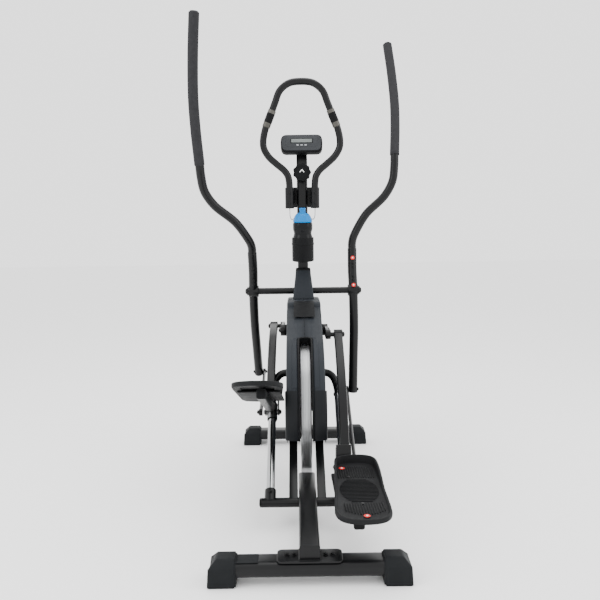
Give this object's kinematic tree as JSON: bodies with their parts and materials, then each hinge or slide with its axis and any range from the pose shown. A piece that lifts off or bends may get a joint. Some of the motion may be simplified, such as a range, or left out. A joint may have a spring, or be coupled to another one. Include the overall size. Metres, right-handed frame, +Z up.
{
  "type": "elliptical trainer",
  "caption": "Free-standing elliptical trainer with a rear-slotted flywheel casing, pedals on inclined rails, swing handles, a fixed loop handlebar and a console.",
  "frame": {"origin": "on the floor, under the middle of the machine", "axes": "+Z up, +Y ahead of the user, +X to the user's right"},
  "size_m": [0.769, 1.2446, 1.6375],
  "materials": {
    "black_paint": "gloss black powder coat",
    "grip_foam": "matt black foam sleeve",
    "casing_plastic": "fine-textured dark blue-grey plastic",
    "trim_plastic": "fine-textured black plastic",
    "cap_plastic": "coarse-textured dark grey plastic",
    "pedal_plastic": "matt dark grey ribbed plastic",
    "chrome": "polished",
    "steel": "zinc plated, satin",
    "flywheel_steel": "turned, satin",
    "rubber": "matt black",
    "console_plastic": "satin grey",
    "screen": "grey display window",
    "blue_plastic": "satin bright blue",
    "black_gloss": "satin black"
  },
  "bodies": {
    "frame": {"main_frame": "black_paint", "rear_stabiliser": "black_paint", "front_stabiliser": "black_paint", "rear_left_end_cap": "cap_plastic", "rear_right_end_cap": "cap_plastic", "front_left_end_cap": "cap_plastic", "front_right_end_cap": "cap_plastic", "left_guide_rail": "chrome", "right_guide_rail": "chrome", "left_casing_shell": "casing_plastic", "right_casing_shell": "casing_plastic", "slot_surround": "trim_plastic", "casing_neck": "casing_plastic", "flywheel_axle": "steel", "drive_belt": "rubber", "pivot_shaft": "black_paint", "mast": "black_paint", "handlebar_clamp": "black_paint", "fixed_handlebar": "black_paint", "left_pulse_sensor": "steel", "right_pulse_sensor": "steel", "left_pulse_lead": "rubber", "right_pulse_lead": "rubber", "console_housing": "console_plastic", "console_screen": "screen", "tension_cable": "rubber", "bottle_cage": "trim_plastic"},
    "flywheel_body": {"flywheel": "flywheel_steel"},
    "crank": {"crank_axle": "steel", "left_crank_arm": "black_paint", "right_crank_arm": "black_paint", "drive_pulley": "trim_plastic"},
    "idler_lever": {"idler_arm": "steel"},
    "idler_wheel": {"idler_pulley": "trim_plastic"},
    "brake": {"brake_bracket": "steel"},
    "knob": {"tension_knob": "trim_plastic"},
    "bottle_body": {"bottle": "black_gloss"},
    "bottle_top": {"bottle_cap": "blue_plastic"},
    "left_slide": {"left_slider": "steel"},
    "left_foot_lever": {"left_pedal_arm": "black_paint", "left_pedal": "pedal_plastic"},
    "left_swing_arm": {"left_lower_arm": "black_paint", "left_upper_handle": "black_paint", "left_foam_grip": "grip_foam", "left_shaft_cap": "black_paint"},
    "left_link": {"left_link_rod": "black_paint"},
    "left_wheel": {"left_transport_wheel": "rubber"},
    "right_slide": {"right_slider": "steel"},
    "right_foot_lever": {"right_pedal_arm": "black_paint", "right_pedal": "pedal_plastic"},
    "right_swing_arm": {"right_lower_arm": "black_paint", "right_upper_handle": "black_paint", "right_foam_grip": "grip_foam", "right_shaft_cap": "black_paint"},
    "right_link": {"right_link_rod": "black_paint"},
    "right_wheel": {"right_transport_wheel": "rubber"},
    "button_left": {"console_button_left": "trim_plastic"},
    "button_middle": {"console_button_middle": "trim_plastic"},
    "button_right": {"console_button_right": "trim_plastic"}
  },
  "joints": [
    {"name": "flywheel_spin", "type": "hinge", "parent": "frame", "child": "flywheel_body", "pos_m": [0, 0.0777, 0.274], "axis": [1, 0, 0], "continuous": true},
    {"name": "crank_spin", "type": "hinge", "parent": "frame", "child": "crank", "pos_m": [0, 0.2292, 0.521], "axis": [1, 0, 0], "continuous": true},
    {"name": "idler_swing", "type": "hinge", "parent": "frame", "child": "idler_lever", "pos_m": [0, 0.0867, 0.368], "axis": [1, 0, 0], "range_deg": [0, 10]},
    {"name": "idler_spin", "type": "hinge", "parent": "idler_lever", "child": "idler_wheel", "pos_m": [0, 0.08692, 0.41724], "axis": [1, 0, 0], "continuous": true},
    {"name": "tension_turn", "type": "hinge", "parent": "frame", "child": "knob", "pos_m": [0, 0.32328, 1.099], "axis": [0, -0.9962, -0.0872], "range_deg": [0, 270]},
    {"name": "brake_swing", "type": "hinge", "parent": "frame", "child": "brake", "pos_m": [0, 0.32526, 0.23921], "axis": [1, 0, 0], "range_deg": [-6, 0]},
    {"name": "stride", "type": "slide", "parent": "frame", "child": "left_slide", "axis": [0, 0.7965, 0.6046], "range_m": [-0.2488, 0.0326]},
    {"name": "right_stride", "type": "slide", "parent": "frame", "child": "right_slide", "axis": [0, 0.7965, 0.6046], "range_m": [-0.0326, 0.2488]},
    {"name": "left_foot_pivot", "type": "hinge", "parent": "left_slide", "child": "left_foot_lever", "pos_m": [0, -0.01582, 0.28127], "axis": [1, 0, 0], "range_deg": [-3.86, 27.5]},
    {"name": "left_arm_swing", "type": "hinge", "parent": "frame", "child": "left_swing_arm", "pos_m": [0, 0.3827, 0.653], "axis": [1, 0, 0], "range_deg": [-32.61, 4.53]},
    {"name": "left_link_pivot", "type": "hinge", "parent": "left_swing_arm", "child": "left_link", "pos_m": [0, 0.54873, 0.30384], "axis": [1, 0, 0], "range_deg": [-5.98, 43.63]},
    {"name": "left_wheel_spin", "type": "hinge", "parent": "frame", "child": "left_wheel", "pos_m": [0, 0.6023, 0.026], "axis": [1, 0, 0], "continuous": true},
    {"name": "right_foot_pivot", "type": "hinge", "parent": "right_slide", "child": "right_foot_lever", "pos_m": [0, -0.18804, 0.15055], "axis": [1, 0, 0], "range_deg": [-27.5, 3.86]},
    {"name": "right_arm_swing", "type": "hinge", "parent": "frame", "child": "right_swing_arm", "pos_m": [0, 0.3827, 0.653], "axis": [1, 0, 0], "range_deg": [-4.53, 32.61]},
    {"name": "right_link_pivot", "type": "hinge", "parent": "right_swing_arm", "child": "right_link", "pos_m": [0, 0.36488, 0.26679], "axis": [1, 0, 0], "range_deg": [-43.63, 5.98]},
    {"name": "right_wheel_spin", "type": "hinge", "parent": "frame", "child": "right_wheel", "pos_m": [0, 0.6023, 0.026], "axis": [1, 0, 0], "continuous": true},
    {"name": "button_left_press", "type": "slide", "parent": "frame", "child": "button_left", "axis": [0, 0.9272, -0.3746], "range_m": [0, 0.001], "stiffness_N_per_m": 300},
    {"name": "button_middle_press", "type": "slide", "parent": "frame", "child": "button_middle", "axis": [0, 0.9272, -0.3746], "range_m": [0, 0.001], "stiffness_N_per_m": 300},
    {"name": "button_right_press", "type": "slide", "parent": "frame", "child": "button_right", "axis": [0, 0.9272, -0.3746], "range_m": [0, 0.001], "stiffness_N_per_m": 300},
    {"name": "bottle_lift", "type": "slide", "parent": "frame", "child": "bottle_body", "axis": [0, -0.0872, 0.9962], "range_m": [0, 0.04]},
    {"name": "bottle_cap_turn", "type": "hinge", "parent": "bottle_body", "child": "bottle_top", "pos_m": [0, 0.29251, 0.93], "axis": [0, -0.0872, 0.9962], "range_deg": [0, 360]}
  ],
  "couplings": [
    {"joint": "crank_spin", "follows": "flywheel_spin", "ratio": 0.14286},
    {"joint": "idler_spin", "follows": "flywheel_spin", "ratio": -0.78125},
    {"joint": "brake_swing", "follows": "tension_turn", "ratio": -0.022222},
    {"joint": "right_stride", "follows": "stride", "ratio": -1},
    {"joint": "left_foot_pivot", "follows": "stride", "rad_per_m": -1.9081},
    {"joint": "left_arm_swing", "follows": "stride", "rad_per_m": 2.2662},
    {"joint": "left_link_pivot", "follows": "stride", "rad_per_m": -3.0398},
    {"joint": "right_foot_pivot", "follows": "stride", "rad_per_m": 1.9081},
    {"joint": "right_arm_swing", "follows": "stride", "rad_per_m": -2.2662},
    {"joint": "right_link_pivot", "follows": "stride", "rad_per_m": 3.0398}
  ]
}
